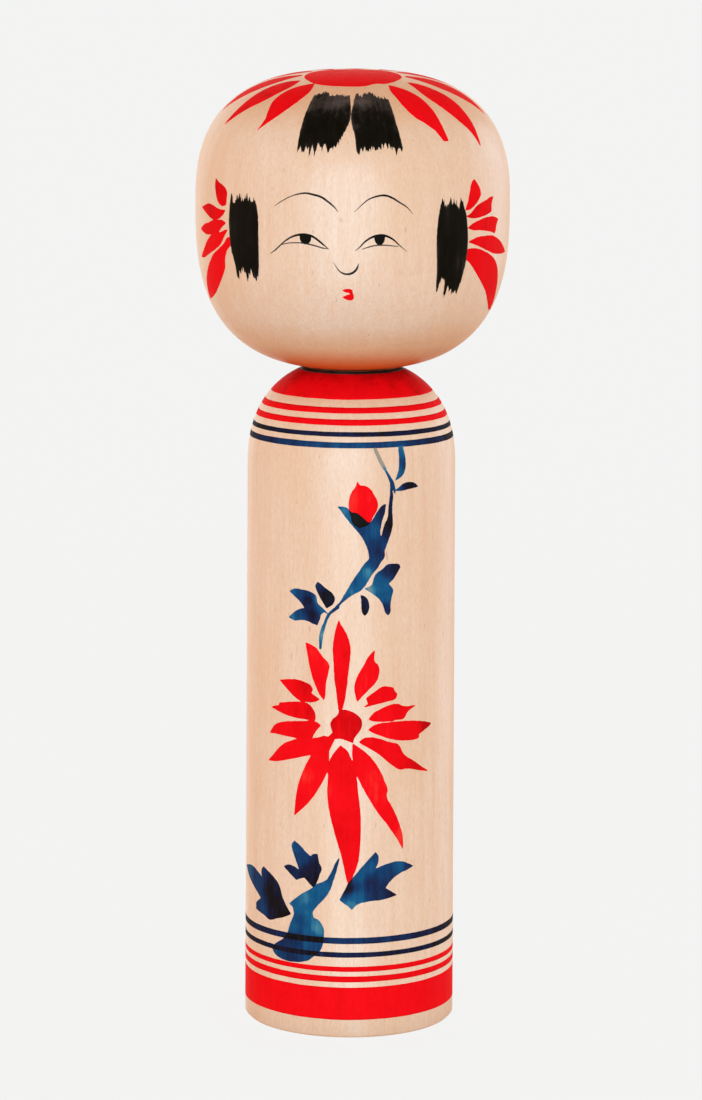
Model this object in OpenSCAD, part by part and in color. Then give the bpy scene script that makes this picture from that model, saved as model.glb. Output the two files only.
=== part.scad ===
// Kokeshi doll: a lathe-turned wooden body and a separate turned head whose tenon drops into the body.
// Millimetres, +Z up. The origin is the centre of the foot, and the face looks along -Y.

/* [Body] */
// Diameter of the body where it stands
foot_d = 53.6; // [53:0.1:58]
// Diameter of the body where the shoulder starts to curve in
shoulder_d = 52.6; // [52:0.1:54]
// Height at which the shoulder starts to curve in
shoulder_z = 142.6; // [142:0.1:144]
// Height of the whole shoulder curve, if it closed to a point
shoulder_rise = 26.9; // [26.8:0.1:30]
// Squareness of the shoulder curve: 2 is an ellipse, more is boxier
shoulder_power = 2.34; // [2.2:0.01:2.6]
// Bevel that breaks the sharp edge of the foot
foot_bevel = 0.8; // [0.4:0.1:2]

/* [Head] */
// Diameter of the head at its widest
head_d = 78.8; // [76:0.1:82]
// Height above the foot at which the head is widest
head_z = 208.6; // [204:0.1:208.6]
// Rise from the widest place to the crown
crown_rise = 33.4; // [28:0.1:40]
// Squareness of the crown curve
crown_power = 2.66; // [2.2:0.01:3]
// Drop from the widest place to where the jaw curve would close to a point
jaw_drop = 41.2; // [41.1:0.1:46]
// Squareness of the jaw curve
jaw_power = 2.76; // [2.65:0.01:3]

/* [Neck] */
// Height of the flat ring on top of the shoulder, where the head sits
neck_z = 167.6; // [167.4:0.1:167.8]
// Daylight between the shoulder's ring and the head, so that the head can turn
neck_gap = 0.3; // [0.3:0.05:0.6]
// Diameter of the tenon under the head
tenon_d = 16.0; // [12:0.1:16.5]
// Length of the tenon below the body's top
tenon_length = 22.0; // [16:0.5:28]
// Bevel on the tenon's end and on the mouth of its hole
tenon_bevel = 1.0; // [0.5:0.1:1.5]
// Running clearance around the tenon, on the radius
tenon_clearance = 0.05; // [0.02:0.01:0.1]
// Free depth of the hole below the tenon's end
hole_spare = 2.0; // [1:0.5:5]

/* [Smoothness] */
// Rings along each curved stretch of the turned outline
curve_rings = 96; // [24:4:120]

/* [Hidden] */
wood = [0.95, 0.88, 0.80];
round_fn = 128;
head_seat_z = neck_z + neck_gap;
tenon_end_z = neck_z - tenon_length;
hole_r = tenon_d / 2 + tenon_clearance;
hole_bottom_z = tenon_end_z - hole_spare;
hole_mouth_bevel = tenon_bevel / 2;
overcut = 1;

// One stretch of a superellipse that starts at the widest place and runs towards the axis.
// Each point is [radius, distance from the widest place], and the stretch stops at the distance `reach`.
function squared_curve(radius, rise, power, reach) =
    let (last = asin(pow(min(reach / rise, 1), power / 2)))
    [for (i = [0:curve_rings])
        let (a = last * i / curve_rings)
        [radius * pow(max(cos(a), 0), 2 / power), rise * pow(sin(a), 2 / power)]];

function reversed(points) = [for (i = [len(points) - 1:-1:0]) points[i]];

// The body's outline from the foot up its side, over the shoulder and to the neck's ring.
module body_outline() {
    shoulder = squared_curve(shoulder_d / 2, shoulder_rise, shoulder_power, neck_z - shoulder_z);
    polygon(concat(
        [[0, 0], [foot_d / 2 - foot_bevel, 0], [foot_d / 2, foot_bevel]],
        [for (p = shoulder) [p[0], shoulder_z + p[1]]],
        [[0, neck_z]]
    ));
}

// The hole in the body's top that takes the head's tenon, with its mouth eased.
module tenon_hole() {
    translate([0, 0, hole_bottom_z])
        cylinder(r = hole_r, h = neck_z - hole_bottom_z + overcut);
    translate([0, 0, neck_z - hole_mouth_bevel])
        cylinder(r1 = hole_r, r2 = hole_r + hole_mouth_bevel, h = hole_mouth_bevel);
}

module body() {
    color(wood)
        difference() {
            rotate_extrude() body_outline();
            tenon_hole();
        }
}

// The head's outline from the flat under the jaw, out to the cheeks and over the crown.
module head_outline() {
    jaw = squared_curve(head_d / 2, jaw_drop, jaw_power, head_z - head_seat_z);
    crown = squared_curve(head_d / 2, crown_rise, crown_power, crown_rise);
    polygon(concat(
        [[0, head_seat_z]],
        [for (p = reversed(jaw)) [p[0], head_z - p[1]]],
        [for (i = [1:curve_rings - 1]) [crown[i][0], head_z + crown[i][1]]],
        [[0, head_z + crown_rise]]
    ));
}

// The round tenon turned in one piece with the head.
module tenon() {
    translate([0, 0, tenon_end_z + tenon_bevel])
        cylinder(r = tenon_d / 2, h = head_z - tenon_end_z - tenon_bevel);
    translate([0, 0, tenon_end_z])
        cylinder(r1 = tenon_d / 2 - tenon_bevel, r2 = tenon_d / 2, h = tenon_bevel);
}

module head() {
    color(wood)
        union() {
            rotate_extrude() head_outline();
            tenon();
        }
}

$fn = round_fn;
body();
head();
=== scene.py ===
"""Kokeshi doll: two pieces of turned wood, with dye and ink brushed on them.

Metres, +Z up, the face looks along -Y. Brush strokes are laid out in millimetres on flat sheets
and wrapped onto the turned wood as thin closed films, one piece for each painted feature.
"""

import math

import bpy
import numpy as np
from mathutils import Matrix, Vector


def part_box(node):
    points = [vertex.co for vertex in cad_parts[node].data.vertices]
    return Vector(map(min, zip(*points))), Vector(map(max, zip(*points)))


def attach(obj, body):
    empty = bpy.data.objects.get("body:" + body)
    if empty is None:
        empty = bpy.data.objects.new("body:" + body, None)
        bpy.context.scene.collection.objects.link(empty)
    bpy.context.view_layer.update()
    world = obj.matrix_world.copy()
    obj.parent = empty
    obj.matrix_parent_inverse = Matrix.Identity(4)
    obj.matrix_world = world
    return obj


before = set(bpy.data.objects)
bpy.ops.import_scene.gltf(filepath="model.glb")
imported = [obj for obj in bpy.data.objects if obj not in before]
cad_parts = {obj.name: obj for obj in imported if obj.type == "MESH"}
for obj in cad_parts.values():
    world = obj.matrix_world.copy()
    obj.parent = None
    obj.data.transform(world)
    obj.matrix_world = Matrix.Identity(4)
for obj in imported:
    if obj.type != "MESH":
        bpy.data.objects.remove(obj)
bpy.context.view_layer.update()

MM = 0.001
TURN = 2 * math.pi
FILM = 0.02  # mm the paint stands proud of the turned surface
LAYER = 0.015  # mm that each further coat lies above the one below
SUNK = 0.06  # mm the film reaches into the wood, so that it is a closed solid
HOLE_AND_TENON = 9.0  # mm radius that the neck's hole and tenon stay under


# ---- the turned surfaces


def gentle_slopes(x, y):
    """Slopes for a cubic through the points that never overshoots them."""
    step = np.diff(y) / np.diff(x)
    slope = np.zeros_like(y)
    same = step[:-1] * step[1:] > 0
    mean = 2 * step[:-1] * step[1:] / np.where(same, step[:-1] + step[1:], 1)
    slope[1:-1] = np.where(same, mean, 0)
    slope[0], slope[-1] = step[0], step[-1]
    return slope


def gentle_curve(x, y, at):
    """The cubic through the points (x, y), read at the places `at`."""
    slope = gentle_slopes(x, y)
    i = np.clip(np.searchsorted(x, at) - 1, 0, len(x) - 2)
    h = x[i + 1] - x[i]
    t = np.clip((at - x[i]) / h, 0, 1)
    blend = t * t * (3 - 2 * t)
    rise = t * (1 - t) ** 2 * slope[i] - t * t * (1 - t) * slope[i + 1]
    return y[i] + (y[i + 1] - y[i]) * blend + h * rise


class Skin:
    """The outer surface of one turned CAD node, in millimetres, measured as arc length from its top."""

    SAMPLES = 3000

    def __init__(self, node, bottom, body):
        self.node, self.body = node, body
        rings = {}
        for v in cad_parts[node].data.vertices:
            z, r = round(v.co.z / MM, 4), math.hypot(v.co.x, v.co.y) / MM
            rings[z] = max(rings.get(z, 0), r)
        # smaller rings above this are the head's crown
        crown = max(rings) - HOLE_AND_TENON if node == "head" else math.inf
        kept = [(z, r) for z, r in rings.items() if z >= bottom and (r > HOLE_AND_TENON or z > crown)]
        z, r = np.array(sorted(kept, reverse=True)).T
        arc = np.concatenate([[0], np.cumsum(np.hypot(np.diff(z), np.diff(r)))])
        self.arc = np.linspace(0, arc[-1], self.SAMPLES)
        self.r = gentle_curve(arc, r, self.arc)
        self.z = gentle_curve(arc, z, self.arc)
        dr, dz = np.gradient(self.r, self.arc), np.gradient(self.z, self.arc)
        size = np.hypot(dr, dz)
        self.nr, self.nz = -dz / size, dr / size
        self.widest = self.r.max()

    def place(self, arc, angle, lift):
        """Points in metres, `lift` mm proud of the skin. Angle 0 is the front, and angles grow towards +X."""
        r = np.interp(arc, self.arc, self.r) + lift * np.interp(arc, self.arc, self.nr)
        z = np.interp(arc, self.arc, self.z) + lift * np.interp(arc, self.arc, self.nz)
        return np.stack([r * np.sin(angle), -r * np.cos(angle), z], -1) * MM

    def arc_at(self, z):
        return np.interp(-np.asarray(z, float), -self.z, self.arc)

    def side_sheet(self, a, b):
        """A flat sheet wrapped round the side: a runs round it from the front, b is the height."""
        return self.arc_at(b), a / self.widest

    def crown_sheet(self, a, b):
        """A flat sheet pressed on from above: its middle is the crown, and b runs to the back."""
        return np.hypot(a, b), np.arctan2(a, -b)


body_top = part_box("body")[1].z / MM
body_skin = Skin("body", 0.0, "body")
head_skin = Skin("head", body_top, "head")


# ---- brush strokes on a sheet

CORNER = math.radians(52)  # a line that turns more has a corner there
LINE_STEPS = 6  # pieces between two of a line's points
EDGE = 0.05  # mm a brush stroke's edge wanders to each side
LONG_WAVE, SHORT_WAVE = 0.9, 0.35  # mm from one wave of it to the next
FINE = 0.015  # mm the edge of a fine line wanders
MARGIN = 0.6  # mm of bare sheet kept around a stroke
STRIP_MARGIN = 0.2  # mm of bare sheet kept above and below a strip
REACH = 0.4  # mm outside a stroke where its dye still counts in a crossing
DRY_TIP = 0.22  # mm from its edge over which the ink of the hair thins out
DRY_INK, STREAK_INK = 0.4, 0.12  # how much thinner the ink is at an edge, and in a dry streak


def noise_at(n, seed):
    """A repeatable number from -1 to 1 that looks unrelated for each n."""
    v = np.sin(n + seed) * 43758.5453
    return 2 * (v - np.floor(v)) - 1


def grain_noise(a, b, size, seed):
    """Smooth repeatable noise from -1 to 1 on a sheet, in blots about `size` mm across."""
    x, y = a / size, b / size
    i, j = np.floor(x), np.floor(y)
    s, t = x - i, y - j
    s, t = s * s * (3 - 2 * s), t * t * (3 - 2 * t)

    def corner(k, m):
        return noise_at(k * 127.1 + m * 311.7, seed * 74.7)

    low = corner(i, j) * (1 - s) + corner(i + 1, j) * s
    high = corner(i, j + 1) * (1 - s) + corner(i + 1, j + 1) * s
    return low * (1 - t) + high * t


def ring_noise(turn, waves, seed):
    """Smooth noise from -1 to 1 that closes on itself after one turn."""
    x = turn * waves
    cell = np.floor(x)
    t = x - cell
    t = t * t * (3 - 2 * t)

    def corner(k):
        return noise_at((k % waves) * 127.1, seed * 311.7)

    return corner(cell) * (1 - t) + corner(cell + 1) * t


def wander(a, b, edge, seed):
    """How far a brush stroke's edge strays outwards."""
    return edge * (grain_noise(a, b, LONG_WAVE, seed) + 0.6 * grain_noise(a, b, SHORT_WAVE, seed + 1))


def gap_to_line(a, b, start, end):
    """The gaps from points of the sheet to each piece of a line, and how far along the piece they are."""
    run = end - start
    pa, pb = a[..., None] - start[:, 0], b[..., None] - start[:, 1]
    part = np.clip((pa * run[:, 0] + pb * run[:, 1]) / (run**2).sum(1), 0, 1)
    return np.hypot(pa - part * run[:, 0], pb - part * run[:, 1]), part


def hermite(p, q, leave, arrive, steps):
    """Points along the cubic from p to q, without its last point."""
    t = np.linspace(0, 1, steps, endpoint=False)[:, None]
    ease = t * t * (3 - 2 * t)
    return p * (1 - ease) + q * ease + leave * t * (1 - t) ** 2 - arrive * t * t * (1 - t)


def smooth_line(points, closed):
    """A smooth line through the points, with a corner wherever it turns sharply."""
    p = np.array(points, float)
    chord = np.roll(p, -1, 0) - p
    length = np.hypot(*chord.T)
    ahead = chord / length[:, None]
    behind = np.roll(ahead, 1, 0)
    mean = ahead + behind
    mean /= np.maximum(np.hypot(*mean.T), 1e-9)[:, None]
    corner = (ahead * behind).sum(1) < math.cos(CORNER)
    if not closed:
        corner[[0, -1]] = True
    leave = np.where(corner[:, None], ahead, mean)
    arrive = np.where(corner[:, None], behind, mean)
    parts = []
    for i in range(len(p) if closed else len(p) - 1):
        j = (i + 1) % len(p)
        parts.append(hermite(p[i], p[j], leave[i] * length[i], arrive[j] * length[i], LINE_STEPS))
    if not closed:
        parts.append(p[-1:])
    return np.concatenate(parts)


def wetness(wet, a, b):
    """The dye's depth: one number for a stroke, or places (a, b, depth) that blend into each other."""
    if isinstance(wet, float):
        return np.full(a.shape, wet)
    place = np.array(wet, float)
    share = ((a[..., None] - place[:, 0]) ** 2 + (b[..., None] - place[:, 1]) ** 2 + 0.8) ** -1.5
    return (share * place[:, 2]).sum(-1) / share.sum(-1)


def boxed(field, line, margin):
    """Notes the part of the sheet that a field needs."""
    low, high = line.min(0) - margin, line.max(0) + margin
    field.box = (low[0], high[0], low[1], high[1])
    return field


def shape(seed, points, wet, edge=EDGE):
    """A stroke with its own outline. Returns a function that gives, for points of the sheet,
    how far inside the stroke they are in mm, and the dye's depth there from 0, a thin wash, to 1."""
    start = smooth_line(points, True)
    end = np.roll(start, -1, 0)
    rise = end[:, 1] - start[:, 1]
    lean = (end[:, 0] - start[:, 0]) / np.where(rise == 0, 1, rise)

    def field(a, b):
        gap = gap_to_line(a, b, start, end)[0].min(-1)
        level = b[..., None]
        passed = (start[:, 1] > level) != (end[:, 1] > level)
        right = start[:, 0] + (level - start[:, 1]) * lean > a[..., None]
        inside = (passed & right).sum(-1) % 2 == 1
        return np.where(inside, gap, -gap) + wander(a, b, edge, seed), wetness(wet, a, b)

    return boxed(field, start, MARGIN)


def stroke(seed, points, widths, wet, edge=EDGE):
    """A stroke with a spine: its widths and the dye's depths, each at even steps from end to end."""
    spine = smooth_line(points, False)
    start, end = spine[:-1], spine[1:]
    width_steps = np.linspace(0, 1, len(widths))
    wet_steps = np.linspace(0, 1, len(wet))

    def field(a, b):
        gap, part = gap_to_line(a, b, start, end)
        near = gap.argmin(-1)
        t = (near + np.take_along_axis(part, near[..., None], -1)[..., 0]) / len(start)
        half = gentle_curve(width_steps, np.array(widths, float), t) / 2
        stray = wander(a, b, edge, seed) * np.minimum(half * 2, 1)
        return half - gap.min(-1) + stray, np.interp(t, wet_steps, wet)

    return boxed(field, spine, max(widths) / 2 + MARGIN)


def ragged(field, fan, depth, hair, seed):
    """Splits both ends of a stroke into pointed hairs that fan out from a far point, with drier tips."""
    a0, a1, b0, b1 = field.box
    middle = math.hypot((a0 + a1) / 2 - fan[0], (b0 + b1) / 2 - fan[1])
    half = (b1 - b0) / 2

    def split(a, b):
        da, db = a - fan[0], b - fan[1]
        reach = np.hypot(da, db)
        across = np.arctan2(da, -db) * middle
        still = np.zeros_like(across)
        # spikes one hair apart, on tufts of almost three hairs
        jag = 1.3 - 3 * np.abs(grain_noise(across, still, hair, seed))
        jag = jag + 0.8 * grain_noise(across, still, 2.7 * hair, seed + 5)
        end = np.clip((reach - middle) / half, -1, 1)
        shift = 1 - depth * (0.1 + 0.9 * end) * jag / reach
        inside, wet = field(fan[0] + da * shift, fan[1] + db * shift)
        streak = 0.5 + 0.5 * grain_noise(across, still, 0.7 * hair, seed + 9)
        dry = np.exp(-np.maximum(inside, 0) / DRY_TIP)
        return inside, wet - STREAK_INK * streak - DRY_INK * dry

    split.box = (a0 - depth, a1 + depth, b0 - 2 * depth, b1 + 2 * depth)
    return split


def together(*fields):
    """The union of several strokes, with their dyes blended where they cross."""

    def field(a, b):
        inside = np.full(a.shape, -9.0)
        depth = np.zeros(a.shape)
        weight = np.full(a.shape, 1e-6)
        for f in fields:
            a0, a1, b0, b1 = f.box
            near = (a >= a0) & (a <= a1) & (b >= b0) & (b <= b1)
            if not near.any():
                continue
            value, wet = f(a[near], b[near])
            share = np.clip(value + REACH, 0.001, 1) ** 2
            depth[near] += share * wet
            weight[near] += share
            inside[near] = np.maximum(inside[near], value)
        return inside, depth / weight

    boxes = np.array([f.box for f in fields])
    field.box = (boxes[:, 0].min(), boxes[:, 1].max(), boxes[:, 2].min(), boxes[:, 3].max())
    return field


def shapes(rows):
    return together(*[shape(*row) for row in rows])


def overlap(f, g):
    """Where two strokes cross, which is where two dyes mix and turn dark."""

    def field(a, b):
        return np.minimum(f(a, b)[0], g(a, b)[0]), np.ones(a.shape)

    boxes = np.array([f.box, g.box])
    low, high = boxes[:, ::2].max(0), boxes[:, 1::2].min(0)
    field.box = (low[0], high[0], low[1], high[1])
    return field


def strip(low, high, a0, a1):
    """A level strip of a sheet between two heights."""

    def field(a, b):
        return np.minimum(b - low, high - b), np.ones(a.shape)

    field.box = (a0, a1, low - STRIP_MARGIN, high + STRIP_MARGIN)
    return field


# ---- films

BORDER_CUT = 0.04  # the smallest share of a cell's side that a border may cut off
BAND_STEPS = 480  # pieces round a band
BAND_ROW = 0.5  # mm between its rows


def mesh_object(name, points, faces, dye=None):
    mesh = bpy.data.meshes.new(name)
    mesh.from_pydata([tuple(p) for p in points], [], faces)
    mesh.validate()
    if dye is not None:
        layer = mesh.attributes.new("dye", "FLOAT", "POINT")
        layer.data.foreach_set("value", np.asarray(dye, np.float32))
    mesh.polygons.foreach_set("use_smooth", np.ones(len(mesh.polygons), bool))
    mesh.update()
    obj = bpy.data.objects.new(name, mesh)
    bpy.context.scene.collection.objects.link(obj)
    return obj


def filled(field, cell):
    """Faces that fill a field, on a square grid whose border cells are cut to the field's edge."""
    a0, a1, b0, b1 = field.box
    a = np.arange(a0, a1 + cell, cell)
    b = np.arange(b0, b1 + cell, cell)
    inside, depth = field(*np.meshgrid(a, b))
    spots, order, faces = [], {}, []

    def corner(j, i):
        key = (j, i)
        if key not in order:
            order[key] = len(spots)
            spots.append((a[i], b[j], depth[j, i]))
        return order[key]

    def crossing(p, q):
        key = (min(p, q), max(p, q))
        if key not in order:
            (j, i), (k, m) = key
            v, w = inside[j, i], inside[k, m]
            t = min(max(v / (v - w), BORDER_CUT), 1 - BORDER_CUT)
            ends = np.array([(a[i], b[j], depth[j, i]), (a[m], b[k], depth[k, m])])
            order[key] = len(spots)
            spots.append(tuple(ends[0] + (ends[1] - ends[0]) * t))
        return order[key]

    full = inside > 0
    some = full[:-1, :-1] | full[1:, :-1] | full[:-1, 1:] | full[1:, 1:]
    for j, i in zip(*np.nonzero(some)):
        loop = [(j, i), (j, i + 1), (j + 1, i + 1), (j + 1, i)]
        face = []
        for p, q in zip(loop, loop[1:] + loop[:1]):
            if full[p]:
                face.append(corner(*p))
            if full[p] != full[q]:
                face.append(crossing(p, q))
        if len(face) > 2:
            faces.append(face)
    return np.array(spots), faces


def add_film(name, skin, arc, angle, faces, depths, dye, layer):
    """The faces at two depths, joined round every border into one closed film."""
    outer, inner = [skin.place(arc, angle, lift).reshape(-1, 3) for lift in (FILM + layer * LAYER, -SUNK)]
    n = len(outer)
    edges = dict.fromkeys((p, q) for f in faces for p, q in zip(f, f[1:] + f[:1]))
    walls = [(q, p, p + n, q + n) for p, q in edges if (q, p) not in edges]
    under = [[i + n for i in reversed(f)] for f in faces]
    obj = mesh_object(name, np.concatenate([outer, inner]), faces + under + walls, np.tile(depths, 2))
    material, slot = dye
    obj.data.materials.append(material)
    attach(obj, skin.body)


def film(name, skin, sheet, field, cell, dye, layer=0):
    """A painted feature as a thin closed film on one skin."""
    spots, faces = filled(field, cell)
    add_film(name, skin, *sheet(spots[:, 0], spots[:, 1]), faces, spots[:, 2], dye, layer)


def on_body(name, field, cell, dye, layer=0):
    film(name, body_skin, body_skin.side_sheet, field, cell, dye, layer)


def on_face(name, field, cell, dye, layer=0):
    film(name, head_skin, head_skin.side_sheet, field, cell, dye, layer)


def on_crown(name, field, cell, dye, layer=0):
    film(name, head_skin, head_skin.crown_sheet, field, cell, dye, layer)


def band(name, low, high, dye, seed, depth, sides=0.0, top=0.0, wobble=0.05, layer=0):
    """A ring of dye laid on while the body turns, between two heights that waver a little.
    The dye is `depth` deep in front, deeper by `sides` towards the left and right, and by `top` towards
    its upper edge, which is painted shade under the overhanging head."""
    around, rows = BAND_STEPS, max(3, round((high - low) / BAND_ROW))
    angle = np.linspace(0, TURN, around, endpoint=False)

    def edge(height, side):
        waves = [ring_noise(angle / TURN, count, seed + side) for count in (9, 60)]
        return height + wobble * (waves[0] + 0.5 * waves[1])

    low_edge, high_edge = edge(low, 1), edge(high, 2)
    row = np.arange(rows + 1)[:, None]
    arc = body_skin.arc_at(low_edge + (high_edge - low_edge) * row / rows)
    depths = depth + sides * np.sin(angle) ** 2 + top * (row / rows) ** 2
    faces = []
    for k in range(0, rows * around, around):
        for i in range(around):
            j = (i + 1) % around
            faces.append([k + i, k + j, k + around + j, k + around + i])
    add_film(name, body_skin, arc, angle, faces, depths.ravel(), dye, layer)


# ---- materials

END_GRAIN_AND_SHADE = (0.98, 0.82, 0.68)  # what the wood's colour is multiplied by where its fibres end and it faces up or down: end grain, and painted shade
JAW_SHADE_AND_RED_BOUNCE = (0.76, 0.28, 0.05)  # the same under the jaw, much browner: end grain with painted shade, and painted red light reflected from the shoulder
WOOD_PALE = (248, 232, 216)
WOOD_WARM = (244, 220, 196)
WOOD_RING = (232, 196, 162)
WOOD_STREAK = (236, 200, 168)
WOOD_FIBRE = (226, 186, 150)
WOOD_SPECK = (180, 130, 94)
RING_GAP = 0.0041  # metres from one growth ring to the next
HEART = (0.028, 0.036, 0.0)  # metres from the tree's heart to the doll's axis
WOOD_GLOSS = 0.8

# the dye's colour for its depth: a thin wash is 0
RED_STOPS = ((0.0, (255, 76, 66)), (0.3, (255, 8, 26)), (0.7, (242, 2, 18)), (1.0, (190, 0, 10)))
BLUE_STOPS = ((0.0, (160, 160, 154)), (0.14, (64, 140, 172)), (0.3, (8, 96, 148)), (0.55, (8, 62, 116)),
    (0.8, (14, 32, 74)), (1.0, (10, 13, 20)))
# the black's thin end is grey-blue, which near the top of the fringe is a painted sheen
BLACK_INK_AND_SHEEN_STOPS = ((0.0, (126, 110, 96)), (0.4, (78, 73, 72)), (0.8, (17, 17, 13)), (1.0, (6, 8, 4)))


class Nodes:
    """The node tree of a material or a world, with a short way to add and join nodes."""

    def __init__(self, owner):
        owner.use_nodes = True
        self.owner, self.tree = owner, owner.node_tree
        self.tree.nodes.clear()

    def add(self, kind, values=None, **settings):
        node = self.tree.nodes.new("ShaderNode" + kind)
        for key, value in settings.items():
            setattr(node, key, value)
        for key, value in (values or {}).items():
            if isinstance(value, bpy.types.NodeSocket):
                self.tree.links.new(value, node.inputs[key])
            else:
                node.inputs[key].default_value = value
        return node

    def scaled(self, place, scale):
        return self.add("Mapping", {"Vector": place, "Scale": scale}).outputs["Vector"]

    def noise(self, place, scale, detail=2.0, rough=0.5):
        values = {"Vector": self.scaled(place, scale), "Scale": 1.0, "Detail": detail, "Roughness": rough}
        return self.add("TexNoise", values).outputs["Fac"]

    def ramp(self, fac, *stops):
        node = self.add("ValToRGB", {"Fac": fac})
        elements = node.color_ramp.elements
        while len(elements) < len(stops):
            elements.new(0.5)
        for element, (at, colour) in zip(elements, stops):
            element.position, element.color = at, (*colour, 1)
        return node.outputs["Color"]

    def level(self, fac, low, high, to_low=0.0, to_high=1.0):
        values = {"Value": fac, "From Min": low, "From Max": high, "To Min": to_low, "To Max": to_high}
        return self.add("MapRange", values).outputs["Result"]

    def maths(self, operation, a, b=0.0):
        return self.add("Math", {0: a, 1: b}, operation=operation).outputs["Value"]

    def mix(self, fac, a, b, blend="MIX"):
        values = {"Factor": fac, 6: a, 7: b}
        return self.add("Mix", values, data_type="RGBA", blend_type=blend).outputs[2]

    def out(self, kind, shader):
        self.tree.links.new(shader, self.add("Output" + kind).inputs["Surface"])
        return self.owner

    def surface(self, colour, roughness, fibres, strength, depth, gloss):
        """A plain shader whose surface follows the wood's fibres, `depth` mm deep."""
        bump = {"Height": fibres, "Strength": strength, "Distance": depth * MM}
        values = {"Base Color": colour, "Roughness": roughness, "Specular IOR Level": gloss}
        values["Normal"] = self.add("Bump", bump).outputs["Normal"]
        return self.out("Material", self.add("BsdfPrincipled", values).outputs["BSDF"])


def srgb(r, g, b):
    """A colour given as 0 to 255 screen values."""
    return tuple((c / 255 / 12.92) if c < 11 else ((c / 255 + 0.055) / 1.055) ** 2.4 for c in (r, g, b))


def wood_fibres(n, place):
    """The wood's finest pattern: upright fibres, and short streaks."""
    return n.noise(place, (3000, 3000, 700), 3.0, 0.7), n.noise(place, (900, 900, 55), 4.0, 0.6)


def growth_rings(n, place):
    """Upright shells round the tree's heart, which lies outside the doll."""
    shift = n.add("VectorMath", {0: place, 1: HEART}, operation="ADD").outputs["Vector"]
    flat = n.scaled(shift, (1, 1, 0.06))
    stray = n.maths("MULTIPLY", n.noise(place, (30, 30, 6)), 0.006)
    apart = n.add("VectorMath", {0: flat}, operation="LENGTH").outputs["Value"]
    return n.maths("SINE", n.maths("MULTIPLY", n.maths("ADD", apart, stray), TURN / RING_GAP))


def wood_material(name, under):
    """Turned wood: fibres, streaks, soft growth rings and tiny dark flecks. Where it faces up or down it is
    darker, for its end grain and as painted shade: `under` is the tone below."""
    n = Nodes(bpy.data.materials.new(name))
    place = n.add("TexCoord").outputs["Object"]
    fibres, streaks = wood_fibres(n, place)
    drift = n.noise(place, (70, 70, 22), 3.0, 0.55)
    specks = n.noise(place, (1300, 1300, 320), 1.0)
    colour = n.ramp(drift, (0.35, srgb(*WOOD_WARM)), (0.65, srgb(*WOOD_PALE)))
    for share, tone in (
        (n.level(growth_rings(n, place), -1, 1, 0.0, 0.1), WOOD_RING),
        (n.level(streaks, 0.4, 0.7, 0.0, 0.4), WOOD_STREAK),
        (n.level(fibres, 0.4, 0.75, 0.0, 0.55), WOOD_FIBRE),
        (n.level(specks, 0.73, 0.82, 0.0, 0.4), WOOD_SPECK),
    ):
        colour = n.mix(share, colour, (*srgb(*tone), 1))
    facing = n.add("SeparateXYZ", {"Vector": n.add("TexCoord").outputs["Normal"]}).outputs["Z"]
    # darker towards the top and the bottom: end grain, and painted shade
    tones = ((0.02, under), (0.125, END_GRAIN_AND_SHADE), (0.25, (1, 1, 1)), (0.75, (1, 1, 1)), (0.9, END_GRAIN_AND_SHADE))
    colour = n.mix(1.0, colour, n.ramp(n.level(facing, -1, 1), *tones), "MULTIPLY")
    return n.surface(colour, n.level(streaks, 0.3, 0.7, 0.34, 0.42), fibres, 0.2, 0.02, WOOD_GLOSS)


def dye_material(name, stops, roughness, show, gloss):
    """Dye soaked into the wood: its colour follows how wet the brush was, and the fibres show through."""
    n = Nodes(bpy.data.materials.new(name))
    place = n.add("TexCoord").outputs["Object"]
    fibres, streaks = wood_fibres(n, place)
    depth = n.add("Attribute", attribute_name="dye").outputs["Fac"]
    pool = n.noise(place, (260, 260, 160))
    depth = n.maths("ADD", depth, n.level(pool, 0.3, 0.7, -0.1, 0.1))
    depth = n.maths("ADD", depth, n.level(streaks, 0.3, 0.7, -0.08, 0.08))
    colour = n.ramp(depth, *[(at, srgb(*tone)) for at, tone in stops])
    tone = n.level(fibres, 0.3, 0.75, 0.0, show)
    colour = n.mix(tone, colour, n.mix(0.35, colour, (*srgb(*WOOD_FIBRE), 1)))
    rough = n.level(streaks, 0.3, 0.7, roughness - 0.05, roughness + 0.06)
    return n.surface(colour, rough, fibres, 0.15, 0.03, gloss)


def bare_wood(node, under):
    """Gives a CAD node its wood, and joins its facets so that they shade as one smooth surface."""
    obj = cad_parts[node]
    weld = obj.modifiers.new("weld", "WELD")
    weld.merge_threshold = 0.001 * MM
    wood = wood_material(f"turned_wood_{node}", under)
    for slot in obj.material_slots:
        slot.material = wood


# each dye is its material and a slot name, which nothing here reads
RED = (dye_material("red_dye_on_wood", RED_STOPS, 0.5, 0.045, 0.012), "red_dye")
BLUE = (dye_material("blue_dye_on_wood", BLUE_STOPS, 0.5, 0.06, 0.02), "blue_dye")
BLACK = (dye_material("black_ink_on_wood", BLACK_INK_AND_SHEEN_STOPS, 0.4, 0.012, 0.05), "black_ink")


# ---- the body's bands

FOOT_BLUE = ((24.5, 26.1), (21.0, 22.3))  # heights of its blue lines' edges


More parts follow.
